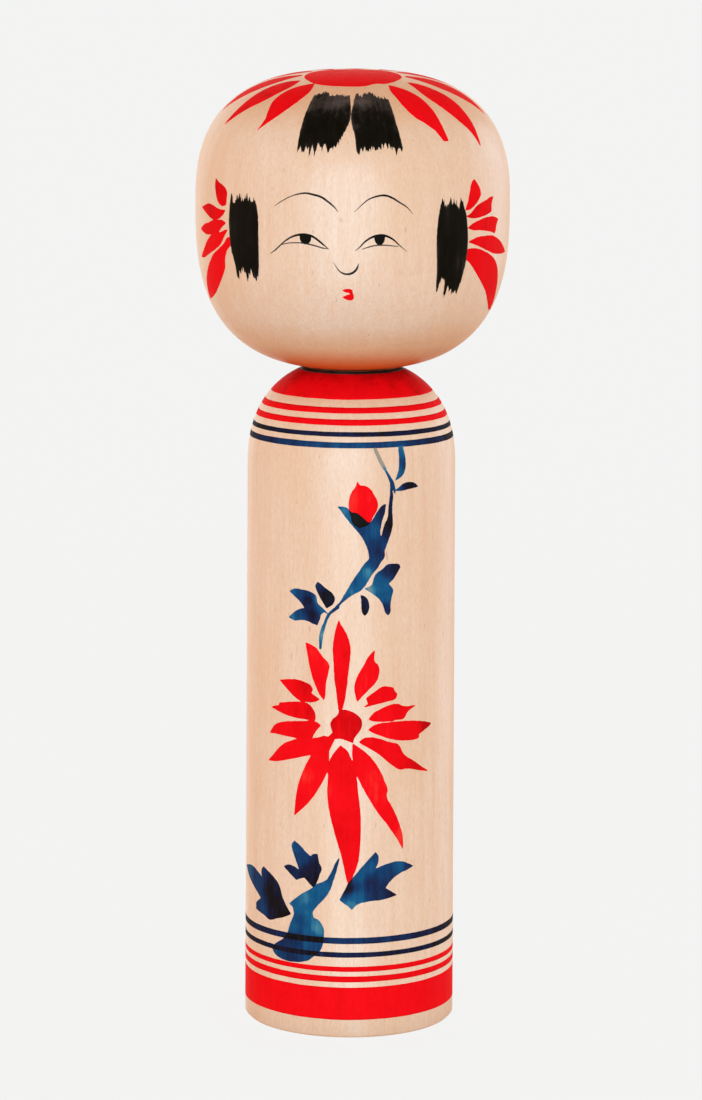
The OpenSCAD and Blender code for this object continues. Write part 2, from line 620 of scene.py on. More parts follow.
def paint_bands():
    """Rings round the shoulder and the foot, and a dark ring at the neck that is painted shadow under the
    head.
    """
    neck = body_top - FILM
    # the cap's dye deepens towards its top: painted shade under the head
    band("shoulder_cap", 161.7, neck, RED, seed=1, depth=0.62, sides=0.16, top=0.2, wobble=0.06)
    # a ring of black ink at the top of the shoulder: painted shadow of the head
    band("neck_painted_shadow", 167.1, neck, BLACK, seed=11, depth=0.62, layer=1)
    band("shoulder_red_1", 158.5, 159.9, RED, seed=2, depth=0.55)
    band("shoulder_red_2", 155.7, 157.1, RED, seed=3, depth=0.55)
    band("shoulder_blue_1", 153.0, 154.1, BLUE, seed=4, depth=0.85, sides=0.1)
    band("shoulder_blue_2", 150.2, 151.7, BLUE, seed=5, depth=0.45, sides=0.5, wobble=0.06)
    band("foot_blue_1", *FOOT_BLUE[0], BLUE, seed=6, depth=0.66, sides=0.3)
    band("foot_blue_2", *FOOT_BLUE[1], BLUE, seed=7, depth=0.8, sides=0.2)
    band("foot_red_1", 17.3, 18.6, RED, seed=8, depth=0.55)
    band("foot_red_2", 14.6, 16.1, RED, seed=9, depth=0.55)
    band("foot_red_wide", 4.8, 13.2, RED, seed=10, depth=0.45, wobble=0.06)


# ---- the flower on the body

# a stroke with an outline is its seed, its outline, and the dye's depth or places (a, b, depth)
LOW_PETAL = (8, [(-1, 75.5), (-2.5, 73.8), (-3.7, 71.6), (-4.2, 67), (-4.3, 62.5), (-3.7, 58), (-2.7, 54),
    (-0.5, 46.5), (0.6, 41.5), (1.3, 39.2), (2.5, 42.3), (3.6, 45.6), (4.2, 52), (4.1, 58.5), (3.5, 63.8),
    (3, 68), (2.1, 71.3), (0.6, 74.2)], [(-3, 62, 0.35), (0.5, 68, 0.6), (1.5, 55, 0.65), (1.5, 44, 0.55)])
PETALS = [
    # up, then anticlockwise
    (1, [(-1.6, 107.2), (-0.8, 105.8), (0.5, 103.6), (1.3, 101), (1.4, 98.5), (1, 95), (0.6, 91),
     (0.1, 87.5), (-0.6, 84.4), (-1.6, 84.4), (-2.1, 88.5), (-2.6, 92), (-2.9, 96), (-3.1, 100),
     (-2.7, 103.4), (-2.1, 106)], [(-2.3, 98, 0.35), (0.6, 98, 0.75), (-1, 90, 0.6), (-1.5, 105, 0.45)]),
    (2, [(-10.4, 101.2), (-9, 100.8), (-7.5, 100), (-5.8, 98), (-4, 95.9), (-4.3, 93.5), (-4.8, 90.8),
     (-4.9, 88.6), (-5.2, 86.6), (-6.6, 88.4), (-8, 91.4), (-9, 94.4), (-9.7, 97.8)],
     [(-8, 97, 0.35), (-6, 90, 0.5)]),
    (3, [(-18.3, 90.8), (-15.5, 91.3), (-12.8, 91.5), (-10.5, 91.1), (-8.8, 90.3), (-8.3, 89.3),
     (-8.6, 88.5), (-7.5, 87.7), (-6.2, 87), (-7.4, 86.3), (-9.4, 86), (-12.1, 86.3), (-14.4, 87.7),
     (-16.3, 89.2)], [(-16, 90, 0.45), (-11, 90.5, 0.85), (-9, 87, 0.7)]),
    (4, [(-21.6, 83.5), (-18.5, 84.3), (-18.2, 85), (-15.5, 85.5), (-12.5, 85.9), (-9.9, 85.8), (-8.3, 84.6),
     (-7.5, 82.7), (-7.8, 81), (-9.4, 81.5), (-13.2, 81.7), (-17.1, 82.3), (-19.8, 83)],
     [(-18, 84, 0.4), (-12, 84, 0.6), (-8.6, 83, 0.8)]),
    (5, [(-21.8, 76.7), (-20.2, 78.8), (-17.8, 80), (-14.4, 80.7), (-10.9, 81.1), (-8.6, 81.2), (-7.1, 81.1),
     (-6, 80.3), (-7.1, 79.2), (-7.8, 78.1), (-8.4, 77), (-10.5, 76.6), (-14.4, 76.6), (-18.2, 76.8)],
     [(-19, 78, 0.4), (-10, 79, 0.65)]),
    # two petals that run into each other and into the heart of the flower
    (6, [(-3, 78.8), (-4.2, 77.6), (-5.2, 77.8), (-6.6, 77.3), (-8.6, 76.9), (-12.4, 76.5), (-14.4, 75.7),
     (-16.4, 74.9), (-18.4, 73.4), (-20.1, 71.7), (-22.4, 69.5), (-19, 69.8), (-15.2, 70.8), (-11.3, 71.9),
     (-8.7, 72.6), (-10.3, 69.6), (-11.8, 66.2), (-12.8, 62.2), (-13.4, 56.6), (-11.3, 58.4), (-8.6, 61.2),
     (-6.2, 64.8), (-4.6, 68), (-3.8, 70), (-3.9, 72), (-3.8, 74), (-2.2, 77.4)],
     [(-18, 72, 0.35), (-8, 74, 0.4), (-4, 77, 0.65), (-10, 65, 0.3), (-12, 59, 0.4)]),
    # down to the right, and back up
    (9, [(2, 76.2), (2, 72.5), (2.6, 69.2), (4, 66), (6, 62.2), (8.3, 58.5), (11, 55), (13.7, 51.2),
     (15.7, 47.8), (15.3, 52.3), (14.1, 55.8), (12.5, 59.2), (10.9, 62.4), (11.2, 63.9), (10.2, 66.5),
     (8.7, 69.6), (6.8, 72.3), (4.5, 74.4)], [(3, 72, 0.5), (7, 67, 0.35), (12, 56, 0.45), (15, 50, 0.15)]),
    (10, [(3.6, 76.3), (4.8, 77.3), (6.8, 77.5), (8.7, 77.1), (11.8, 76), (14.1, 75.2), (15.6, 72.7),
     (18.3, 70.8), (21.8, 68.5), (24.2, 67.1), (20.2, 67.9), (16.4, 68.8), (14.7, 68.7), (11.4, 70.8),
     (8.7, 73.1), (6, 74.8)], [(6, 76.5, 0.55), (12, 73, 0.5), (20, 69, 0.75)]),
    (11, [(5.9, 79.4), (7.9, 80.7), (11.4, 81.1), (15.2, 81.1), (18.7, 80.8), (22.2, 80.2), (24.9, 79.4),
     (24.1, 78.7), (22.2, 77.9), (20.4, 77.1), (20.5, 76.2), (19.1, 75.9), (16, 76), (12.9, 76.5),
     (9.8, 77.5), (7.5, 78.5)], [(9, 79.5, 0.35), (18, 78, 0.5), (23, 79.4, 1.0)]),
    (12, [(5.9, 81.9), (7.2, 83.5), (9.1, 84.6), (11.4, 85.4), (14.1, 85.6), (15.2, 85), (19.4, 84.7),
     (16.8, 83.3), (16.3, 82.5), (15.6, 81.7), (12.9, 81.5), (9.8, 81.3), (7.5, 81.5)],
     [(9, 83, 0.4), (16, 84.6, 0.6)]),
    (13, [(4.4, 85), (5.8, 86), (5.4, 87.5), (7.5, 89), (9.8, 90.3), (12.7, 89.9), (13, 89), (13.8, 88.1),
     (13.1, 86.9), (10.6, 86.3), (7.9, 85.8)], [(8, 87.5, 0.45), (12, 88.5, 0.65)]),
    (14, [(3.2, 86.6), (2.7, 88.1), (2.4, 90.4), (3, 92.7), (4.5, 95.4), (6, 98.1), (7.7, 99.8), (7.6, 96.7),
     (8.5, 95.8), (8.8, 93.8), (8.2, 91.9), (6.8, 90.2), (5.2, 88.7)], [(4, 91, 0.35), (7, 96, 0.45)]),
]
FLOWER_HEART = (15, [(-1.4, 84.5), (0.6, 84.5), (2.9, 83.5), (4.1, 82.3), (4.4, 81), (3.9, 79.2),
    (2.5, 77.3), (2.2, 76), (0.6, 76.7), (-0.9, 77.1), (-2.6, 77.1), (-3, 78.5), (-3.6, 80.9), (-3, 82.2),
    (-1.7, 83.4)], 0.8)
BUD = (16, [(2.9, 142.1), (3.7, 141.2), (4.9, 141), (6.1, 140.3), (7.4, 138.4), (8.2, 136.4), (8, 134.9),
    (7.2, 133.5), (5.8, 131.2), (3.4, 130.4), (1.9, 131.4), (1.2, 133.6), (0.8, 135.4), (0.8, 137.2),
    (1.5, 139.4), (2.4, 140.7)], [(3, 138, 0.3), (6, 134, 0.45)])


def paint_flower():
    on_body("flower_petals", shapes([LOW_PETAL, *PETALS]), 0.32, RED)
    on_body("flower_heart", shape(*FLOWER_HEART), 0.3, RED, layer=1)
    on_body("flower_bud", shape(*BUD), 0.3, RED)


# ---- the vine above the flower

CALYX = (17, [(-2, 135.7), (-0.8, 135.8), (0.4, 135.5), (1.4, 134.5), (2.9, 134.1), (4.3, 133.1),
    (5.6, 131.8), (6.4, 132), (7.4, 133.4), (8.4, 134.9), (9.3, 135.9), (10.3, 136.4), (10.2, 135.2),
    (9.9, 133.6), (9.3, 132), (8.9, 129), (9.6, 126.6), (10.1, 124.6), (9.9, 122.8), (9.1, 121.8),
    (8.2, 120.3), (6.8, 118.7), (5.4, 116.4), (4.1, 114.8), (2.4, 113.9), (0.4, 112.6), (-0.9, 111.4),
    (-2.2, 110), (-2.6, 110.6), (-1.2, 112), (-0.1, 113.9), (1.6, 116.8), (3.2, 119.2), (4.6, 121.2),
    (6, 122.6), (5.7, 124.8), (4.9, 126.7), (3.6, 128.9), (1.8, 130.9), (0.4, 132.6), (-0.8, 134.2)],
    [(-1, 134.8, 0.3), (1, 133.5, 0.45), (5, 129.5, 0.55), (7.5, 129, 0.4), (8.5, 134, 0.72), (7, 126, 0.55),
    (8.8, 124.5, 0.78), (7, 121.5, 0.6), (5.6, 119.4, 0.26), (3, 117, 0.4), (1.5, 114.2, 0.3),
    (-1, 112, 0.5)])
VINE_BLADES = [
    (18, [(13.9, 150.5), (13.9, 147.6), (13.8, 145.1), (12.8, 141.9), (15, 143.3), (15.6, 144.5),
     (15.9, 146.2), (15.7, 148.1), (15.3, 150.5)],
     [(14.4, 149, 0.3), (14.4, 143.6, 0.3), (15.6, 146, 0.65), (14, 146, 0.45)]),
    (19, [(12.5, 139.5), (13.8, 140.2), (15.4, 141.2), (17.3, 141.4), (18.8, 140.9), (19.7, 140),
     (18.2, 139.8), (16.3, 139.6), (14.3, 139.3)], [(13, 139.6, 0.45), (17, 140.5, 0.92)]),
]
# a stroke with a spine is its seed, its spine, its widths, and the dye's depths
VINE_LINES = [
    (20, [(7.6, 149.9), (8.6, 147.6), (10, 145)], [0.9, 1.0, 0.8], (-0.3, -0.2, 0.1)),
    (21, [(9.9, 145.2), (11.3, 142.7), (12.3, 140.6), (12.8, 138.6)], [0.5, 0.7, 1.0, 0.8, 0.1],
     (0.3, 0.6, 0.5)),
    (22, [(11.6, 141.6), (11.8, 138), (11.5, 135.4), (11.5, 133), (11.1, 131), (10.5, 129), (9.9, 127),
     (9.4, 124.8)], [0.4, 0.9, 1.0, 1.3, 2.2, 2.3, 2.0, 1.4], (0.6, 0.8, 0.8, 0.95, 0.95, 0.8, 0.6, 0.5)),
    (23, [(-1.9, 110.5), (-4, 108.7), (-5.2, 106.2), (-6.1, 103.2), (-6.3, 100)],
     [0.9, 0.75, 0.7, 0.9, 1.0, 0.6], (0.6, 0.5, 0.35, 0.2, 0.5)),
]
RIGHT_LEAVES = [
    (24, [(14.4, 120.2), (14, 120.9), (12.4, 121.2), (10.7, 121), (9.5, 120), (8.2, 119.2), (7.3, 118),
     (6.7, 116.2), (4.9, 115.2), (6, 114.4), (7.4, 113.5), (8.8, 112.3), (9.7, 110.7), (10.3, 108.9),
     (11, 108.2), (11.6, 108.9), (11.7, 111), (12, 112.8), (12.4, 114.5), (11.2, 116.2), (12.7, 117.6),
     (13.5, 118.8)],
     [(13, 120, 0.9), (10.5, 119.5, 0.75), (8.5, 117.5, 0.36), (9.5, 115.5, 0.3), (11, 113.5, 0.4),
     (10.9, 109.5, 0.8), (6, 115, 0.2)]),
    (25, [(3.9, 113.6), (5.2, 113.1), (5.9, 112), (6.1, 110.6), (5.7, 109.1), (5, 108.3), (4.3, 109.1),
     (4.1, 110.8)], 0.85),
]
LEFT_LEAVES = [
    (26, [(-15.2, 113.7), (-13.4, 114.5), (-10.9, 114.4), (-9.3, 114.1), (-7.6, 113.2), (-7.1, 111.4),
     (-5.7, 110.1), (-4.3, 108.7), (-5.4, 109), (-6.1, 108.5), (-6.5, 107.3), (-7.1, 105.7), (-8.4, 106),
     (-9.8, 106.6), (-11.5, 106.7), (-13.4, 106.4), (-15.5, 107), (-14.6, 107.8), (-12.9, 109.1),
     (-10.8, 109.9), (-11.5, 110.9), (-13.2, 112.3)],
     [(-14.6, 113.6, 0.3), (-12, 113.3, 0.6), (-9.5, 111.8, 0.85), (-7.2, 112.4, 0.2), (-6, 110.3, 0.35),
     (-8.5, 108.5, 0.85), (-14.5, 107, 0.2), (-12, 107.6, 0.5)]),
    (27, [(-7.1, 116.7), (-5.9, 115.9), (-4.6, 114.9), (-3.2, 113.9), (-2.6, 112.7), (-3, 111.3),
     (-4, 110.5), (-4.8, 110.1), (-5.6, 111.4), (-6.5, 112.9), (-7.2, 114.2), (-7.7, 115.7)],
     [(-7, 116, 0.75), (-5, 113, 1.0)]),
]


def paint_vine():
    calyx = shape(*CALYX)
    blades = [shape(*row) for row in VINE_BLADES]
    lines = [stroke(*row) for row in VINE_LINES]
    on_body("vine_stem", together(calyx, *blades, *lines), 0.2, BLUE, layer=1)
    on_body("bud_under_calyx", overlap(shape(*BUD), calyx), 0.2, BLACK, layer=2)
    on_body("vine_right_leaves", shapes(RIGHT_LEAVES), 0.2, BLUE)
    on_body("vine_left_leaves", shapes(LEFT_LEAVES), 0.2, BLUE)


# ---- the leaves below the flower

LOW_STEM = (31, [(-1, 47), (-2.1, 45.4), (-3.2, 42.9), (-4.6, 40.8), (-6.8, 39.7), (-8.6, 38.3),
    (-11.4, 36.5), (-14.9, 33.7), (-13.6, 32.9), (-13.4, 31.1), (-14.1, 29.4), (-14.8, 27.6), (-15.4, 25.8),
    (-17.1, 24), (-19.3, 22.6), (-20.5, 21.1), (-19.3, 19.7), (-17.1, 19), (-14.3, 18.7), (-11.4, 19),
    (-9.3, 19.6), (-7.9, 20.7), (-6.4, 21.9), (-5.7, 22.9), (-5.2, 24.7), (-5, 26.9), (-5.2, 28.6),
    (-6.4, 30.3), (-7.8, 30.9), (-8, 32.2), (-6.8, 34), (-5, 35.9), (-3.6, 38), (-2.6, 40.8), (-1.8, 43.5)],
    [(-1.8, 45.5, 0.6), (-3.5, 41.5, 0.45), (-5.5, 38.5, 0.26), (-10, 36.3, 0.24), (-13, 34, 0.28),
    (-8.5, 33, 0.34), (-11, 29.5, 0.55), (-14, 28, 0.28), (-6, 28.5, 0.2), (-13, 24.5, 0.72),
    (-17.5, 22.5, 0.8), (-8, 24, 0.45), (-14, 20.2, 0.75), (-19.5, 21, 0.45), (-7.4, 22, 0.5)])
LEFT_LEAF = (32, [(-36.5, 39.4), (-32.9, 40.3), (-29.6, 40.5), (-26.8, 39.7), (-25, 38.9), (-25.2, 40.6),
    (-24.3, 41.7), (-22.1, 40.8), (-20, 39.7), (-18.3, 38.2), (-17.3, 36.1), (-16.6, 34.4), (-15.4, 32.6),
    (-14.1, 31), (-15.4, 30.4), (-17.1, 29.7), (-19.3, 29), (-21.4, 28.3), (-23.6, 29), (-25.7, 29.4),
    (-27.9, 29.9), (-27.9, 31.5), (-25.5, 33.2), (-27.5, 34.5), (-30, 35.8), (-32.9, 37.2)],
    [(-34, 39, 0.35), (-28, 37.6, 0.62), (-24.5, 40, 0.6), (-21, 34, 1.0), (-26, 31, 0.6), (-16, 31.5, 1.0),
    (-20, 38, 0.95)])
MIDDLE_LEAF = (33, [(-14.1, 49.1), (-13.3, 50.2), (-11.4, 49), (-10, 47.6), (-8.6, 46.7), (-8.2, 47.2),
    (-6.8, 47.4), (-6.4, 45.4), (-5.7, 43.6), (-6.3, 41.9), (-7.1, 39.7), (-7.9, 38.6), (-9.3, 39.9),
    (-10.4, 41), (-11.4, 40.6), (-12.7, 40.1), (-14.6, 41.5), (-16.7, 43.1), (-15, 43.8), (-13.2, 43.5),
    (-11.9, 42.9), (-12.5, 44.4), (-13.4, 46.5)],
    [(-13, 49, 0.42), (-12, 45, 0.6), (-8.5, 43, 0.97), (-14.5, 42.5, 0.75), (-8, 40, 0.95)])
RIGHT_LEAF = (34, [(-1.1, 35.8), (-0.4, 37.2), (0.5, 39), (1, 40.1), (2.5, 41.9), (3.9, 43.6), (6.1, 46.1),
    (8.1, 48.2), (8.8, 46.9), (8.8, 45.4), (8, 43.8), (10, 44.5), (12.5, 45.1), (15, 45.1), (17.1, 44.4),
    (18.8, 43.4), (17.1, 42.8), (14.6, 42), (12.1, 40.4), (10.7, 38.6), (12.1, 37.8), (13.9, 36.5),
    (12.1, 36.1), (9.6, 35.6), (6.4, 35.4), (3.2, 34.5), (2.1, 33.3), (1.1, 34.2)],
    [(8, 47, 0.6), (6, 44, 0.38), (4, 42, 0.4), (7, 40, 0.75), (2.7, 36.6, 0.3), (1, 38.9, 1.0),
    (1.5, 34.5, 0.2), (11, 43, 0.55), (14.5, 44, 0.32), (17.5, 43.6, 0.7), (12.5, 37, 0.85), (9, 37, 0.7)])


def paint_lower_leaves():
    """The stem and leaves, with darker dye where they cross the bands and the lowest petal."""
    stem, leaf = shape(*LOW_STEM), shape(*RIGHT_LEAF)
    on_body("lower_stem", stem, 0.28, BLUE, layer=1)
    for number, edges in enumerate(FOOT_BLUE, 1):
        on_body(f"stem_over_band_{number}", overlap(stem, strip(*edges, -22, -4)), 0.25, BLUE, layer=2)
    on_body("lower_left_leaf", shape(*LEFT_LEAF), 0.28, BLUE)
    on_body("lower_middle_leaf", shape(*MIDDLE_LEAF), 0.25, BLUE)
    on_body("lower_right_leaf", leaf, 0.25, BLUE, layer=1)
    on_body("petal_over_leaf", overlap(shape(*LOW_PETAL), leaf), 0.2, BLACK, layer=2)


# ---- the face

INK_CELL = 0.085  # mm, the grid of a fine film
BROWS = [
    (41, [(-17.7, 210.7), (-16.5, 211.5), (-14, 212.9), (-11.9, 213.7), (-9.6, 214.1), (-7.6, 213.8),
     (-5.5, 213.2), (-4, 212.2), (-2.6, 211.1), (-1.4, 209.7)],
     [0.1, 0.24, 0.26, 0.42, 0.5, 0.52, 0.42, 0.1], (0.1, 0.2, 0.6, 0.8, 0.5, 0.2)),
    (42, [(2.5, 209.7), (4, 211.2), (5.8, 212.7), (7.9, 213.5), (9.9, 213.7), (11.7, 213.1), (13.5, 212),
     (15.4, 210.8), (17.1, 209)], [0.1, 0.24, 0.34, 0.46, 0.5, 0.42, 0.3, 0.08],
     (0.1, 0.4, 0.7, 0.8, 0.5, 0.1)),
]
LEFT_LIDS = [
    (43, [(-19, 199.1), (-17.6, 200), (-16.2, 201.2), (-14.6, 202.5), (-12.6, 203.6), (-10.1, 204.1),
     (-7.8, 203.7), (-6.2, 202.7), (-5.1, 201.8), (-3.7, 200.7)],
     [0.14, 0.36, 0.36, 0.46, 0.6, 0.5, 0.44, 0.12], (0.2, 0.4, 0.6, 0.9, 0.8, 0.4)),
    (44, [(-16, 201.3), (-14.4, 201.8), (-12.6, 202), (-10.1, 202), (-8.3, 201.7), (-6.5, 201.3),
     (-5.1, 200.9), (-3.9, 200.8)], [0.12, 0.26, 0.28, 0.34, 0.36, 0.3, 0.16], (0.2, 0.35, 0.4, 0.3)),
]
LEFT_PUPIL = (45, [(-11, 203.9), (-9.5, 204.2), (-8, 203.8), (-8.2, 202.6), (-9, 201.8), (-10, 201.8),
    (-10.8, 202.6)], 0.95)
RIGHT_LIDS = [
    (46, [(2.7, 200.3), (3.8, 201.2), (4.9, 202.4), (6.3, 203.4), (7.9, 204), (9.5, 204.1), (10.8, 203.7),
     (12.2, 202.9), (13.5, 201.7), (15.6, 200)], [0.1, 0.34, 0.44, 0.54, 0.56, 0.46, 0.34, 0.08],
     (0.2, 0.5, 0.8, 0.9, 0.6, 0.2)),
    (47, [(4.3, 200.7), (5.8, 201.2), (7.4, 201.6), (9.7, 201.7), (11.7, 201.5), (13.4, 201.3)],
     [0.14, 0.3, 0.32, 0.28, 0.14], (0.25, 0.35, 0.3)),
]
RIGHT_PUPIL = (48, [(7.3, 203.7), (8.7, 204.1), (10, 203.8), (9.8, 202.6), (9.2, 201.9), (8.3, 201.8),
    (7.6, 202.5)], 0.95)
NOSE = (49, [(-2.6, 197.5), (-1.7, 196.1), (-0.8, 195.1), (0.4, 194.65), (1.5, 194.7), (2.6, 195.3),
    (3.2, 196.1), (3.6, 197.2)], [0.1, 0.26, 0.4, 0.5, 0.56, 0.5, 0.16], (0.1, 0.4, 0.7, 0.8, 0.6))
MOUTH = (50, [(-0.5, 190.6), (0.4, 190.95), (1.4, 191), (2.1, 190.7), (2.2, 190), (2.5, 189.2), (2.4, 188.4),
    (1.6, 188.1), (0.6, 188.3), (-0.5, 188.9), (0.4, 189.35), (1.4, 189.6), (1.3, 190), (0.4, 190.1)],
    [(1.5, 190.6, 0.6), (1.5, 188.8, 0.5)])


def fine_lines(rows):
    return [stroke(*row, FINE) for row in rows]


def paint_face():
    on_face("brows", together(*fine_lines(BROWS)), INK_CELL, BLACK)
    for name, lids, pupil in (("left_eye", LEFT_LIDS, LEFT_PUPIL), ("right_eye", RIGHT_LIDS, RIGHT_PUPIL)):
        on_face(name, together(*fine_lines(lids), shape(*pupil, FINE)), INK_CELL, BLACK)
    on_face("nose", stroke(*NOSE, FINE), INK_CELL, BLACK)
    on_face("mouth", shape(*MOUTH, FINE), INK_CELL, RED)


# ---- the hair

HAIR_CELL = 0.15
HAIR = 0.42  # mm from one brush hair to the next
CROWN_FAN = (0.5, -2.0)  # where the forelock's hairs come from
LEFT_FAN, RIGHT_FAN = (-27.5, 300), (28.5, 300)  # far above the side locks
# the thin ink listed near the top of each fringe is a painted grey-blue sheen
LEFT_FRINGE = (61, [(-8.3, -26), (-6.9, -25.9), (-5.4, -24.8), (-4.3, -26.6), (-2, -27), (0.6, -27.4),
    (0.9, -30), (1.2, -35.4), (0.2, -38.5), (-1, -41.3), (-2, -42.6), (-3.5, -43.6), (-5, -44.2),
    (-5.8, -42.8), (-7.2, -43.9), (-7.7, -42.3), (-8.9, -44.4), (-9.3, -42), (-10.4, -45), (-10.9, -41.6),
    (-12.1, -43.8), (-12.6, -41.2), (-14.2, -43.6), (-13.2, -40), (-11.2, -34), (-9.6, -29.6)],
    [(-2.5, -29.6, 0.5), (-6.4, -28.6, 0.75), (-8, -36, 0.95), (-3, -39, 0.98), (0, -34, 0.88),
    (-10, -43, 0.95)])
RIGHT_FRINGE = (62, [(2.1, -27.6), (3.5, -26.8), (6, -26), (8.5, -26.8), (9.9, -26.3), (11, -29), (13, -34),
    (15, -38), (16.6, -41), (15.4, -42.6), (13, -41.9), (10, -42.1), (7, -43), (5.5, -44.4), (3.5, -43.5),
    (2.8, -41), (1.8, -38), (1.3, -35.6), (1.6, -31)],
    [(4, -29.6, 0.5), (7.6, -29.5, 0.75), (10, -36, 0.93), (6, -40, 0.96), (2.6, -34, 0.88),
    (13, -41, 0.95)])
LEFT_LOCK = (65, [(-31.7, 212.4), (-30.8, 211.6), (-29.9, 211.1), (-29.2, 211.9), (-28.1, 212.1),
    (-27.3, 211.6), (-26.1, 212.3), (-24.9, 211.4), (-23.9, 211.8), (-23.1, 210.6), (-22.6, 208.8),
    (-22.4, 205), (-22.4, 201.5), (-22.5, 198), (-22.9, 194.7), (-23.8, 191.5), (-24.8, 194.1),
    (-25.6, 194.7), (-26.9, 191.9), (-27.5, 194.2), (-28.6, 195), (-30.3, 192.8), (-30.7, 194.8),
    (-31.4, 197.4), (-31.9, 200), (-32.3, 203.5), (-32.4, 207.5), (-31.9, 211)], 0.98)
RIGHT_LOCK = (66, [(24.7, 211.9), (25.9, 210.9), (26.6, 210.1), (27.3, 211.5), (28.5, 212.2), (29.8, 211.3),
    (30.3, 210.3), (31, 211.6), (31.7, 210.9), (32.5, 209.4), (33.1, 206.8), (33.5, 203.5), (33.6, 200.6),
    (33.4, 197.6), (33, 194.7), (32.3, 192.1), (31.3, 189.7), (30.2, 188), (29.5, 189.1), (28.1, 189.9),
    (27, 189.2), (26.9, 191.8), (26.4, 193.5), (25.8, 193.2), (25.1, 190.9), (24.7, 190.2), (24.4, 192.2),
    (24.1, 195), (23.7, 199.4), (23.6, 203.5), (23.9, 207.4), (24.3, 210)], 0.98)


def paint_hair():
    on_crown("fringe_left", ragged(shape(*LEFT_FRINGE), CROWN_FAN, 0.8, HAIR, 63), HAIR_CELL, BLACK)
    on_crown("fringe_right", ragged(shape(*RIGHT_FRINGE), CROWN_FAN, 0.9, HAIR, 64), HAIR_CELL, BLACK)
    on_face("side_lock_left", ragged(shape(*LEFT_LOCK), LEFT_FAN, 0.9, HAIR, 67), HAIR_CELL, BLACK, 1)
    on_face("side_lock_right", ragged(shape(*RIGHT_LOCK), RIGHT_FAN, 0.9, HAIR, 68), HAIR_CELL, BLACK, 1)


# ---- the red bows beside the hair

LEFT_BOW = [
    (71, [(-38.8, 216.4), (-37.4, 215.6), (-35.4, 214.9), (-33.4, 213.5), (-33.3, 211.8), (-33.6, 210.1),
     (-34.8, 209.7), (-36.1, 209.9), (-37.4, 210.9), (-38.3, 212.6), (-38.8, 214.4)], 0.75),
    (72, [(-33.8, 208.8), (-35.6, 208.8), (-37.7, 209.1), (-39.8, 209.7), (-42.4, 209.8), (-44.8, 209.2),
     (-47, 208.6), (-44.8, 207.8), (-42.7, 207), (-40.9, 206.3), (-38.9, 206), (-36.8, 206.5),
     (-35.1, 207.4)], 0.75),
    (73, [(-33.6, 205.6), (-35.1, 206.2), (-37.4, 206.2), (-39.8, 205.9), (-42.4, 205.1), (-44.8, 204.6),
     (-48.2, 203.1), (-45.6, 202.4), (-43.3, 202.1), (-41.5, 202.2), (-39, 202), (-36.8, 203.2),
     (-35.6, 204.3)], 0.65),
    (74, [(-32.9, 204.2), (-34.5, 203.8), (-36.2, 203.2), (-39.2, 202.6), (-41.5, 201.8), (-43.9, 200.3),
     (-45.6, 198.8), (-49.6, 195.9), (-46.2, 196.2), (-43.9, 196.9), (-41.2, 197.9), (-38.9, 198.8),
     (-36.5, 200), (-34.8, 201.8)], 0.45),
    (75, [(-31.5, 202.4), (-33.3, 202.1), (-34.8, 200.6), (-37.4, 199), (-40.4, 197.4), (-42.7, 195.5),
     (-45.4, 193.2), (-48, 190.7), (-50, 188.2), (-51.6, 185.3), (-48.3, 185.9), (-45, 186.8),
     (-41.5, 188.5), (-38.6, 190.6), (-36.2, 192.9), (-35, 194.7), (-34.6, 196.8), (-33.6, 198.8),
     (-31.5, 201)], 0.4),
]
RIGHT_BOW = [
    (76, [(32.4, 209.3), (33.4, 211.5), (34.1, 213.8), (35.1, 216.2), (36.1, 216.8), (37.2, 215.6),
     (38.1, 214.4), (38.5, 212.9), (37.5, 211.6), (36.3, 210.6), (34.5, 209.6)], 0.6),
    (77, [(32.6, 207.9), (34.2, 208.4), (36.3, 210), (38.6, 210.9), (41, 211.5), (42.8, 212.1), (44.3, 212),
     (43.5, 210.6), (43.4, 208.4), (41.6, 207.9), (38.6, 207.4), (35.7, 207.2), (33.9, 207.5)], 0.7),
    (78, [(33.3, 205), (35.1, 205.9), (37.5, 206.6), (40.4, 207.1), (43.4, 207.2), (45.7, 206.9),
     (47.4, 206.2), (46.3, 205), (45.9, 203.5), (45.3, 202.8), (43.9, 203.2), (41, 203.8), (38.1, 204.1),
     (35.1, 204.4)], 0.7),
    (79, [(33.6, 201.5), (35.7, 202.2), (38.1, 202.6), (41.6, 202.6), (44.5, 202.4), (46.9, 201.6),
     (49.8, 200.5), (51.9, 199.3), (55, 197.5), (52.8, 197.4), (50.4, 197.4), (47.5, 197.6), (44.5, 198.1),
     (41.6, 199), (38.6, 200), (35.7, 200.9)], 0.65),
    (80, [(33, 199.8), (35.1, 199.9), (37.5, 199.7), (40.3, 198.9), (43.2, 197.9), (45.9, 196.7),
     (48.3, 195), (50.2, 192.9), (51.8, 190.4), (53.2, 188), (54.8, 185.8), (57, 182.8), (53.4, 183.1),
     (50.4, 184.4), (47.5, 186.2), (44.5, 188.5), (41.6, 190.6), (38.6, 192.9), (36.3, 195), (34.5, 196.5),
     (33, 197.3)], 0.6),
]


def paint_bows():
    on_face("side_bow_left", shapes(LEFT_BOW), 0.3, RED)
    on_face("side_bow_right", shapes(RIGHT_BOW), 0.3, RED)


# ---- the flower on the crown

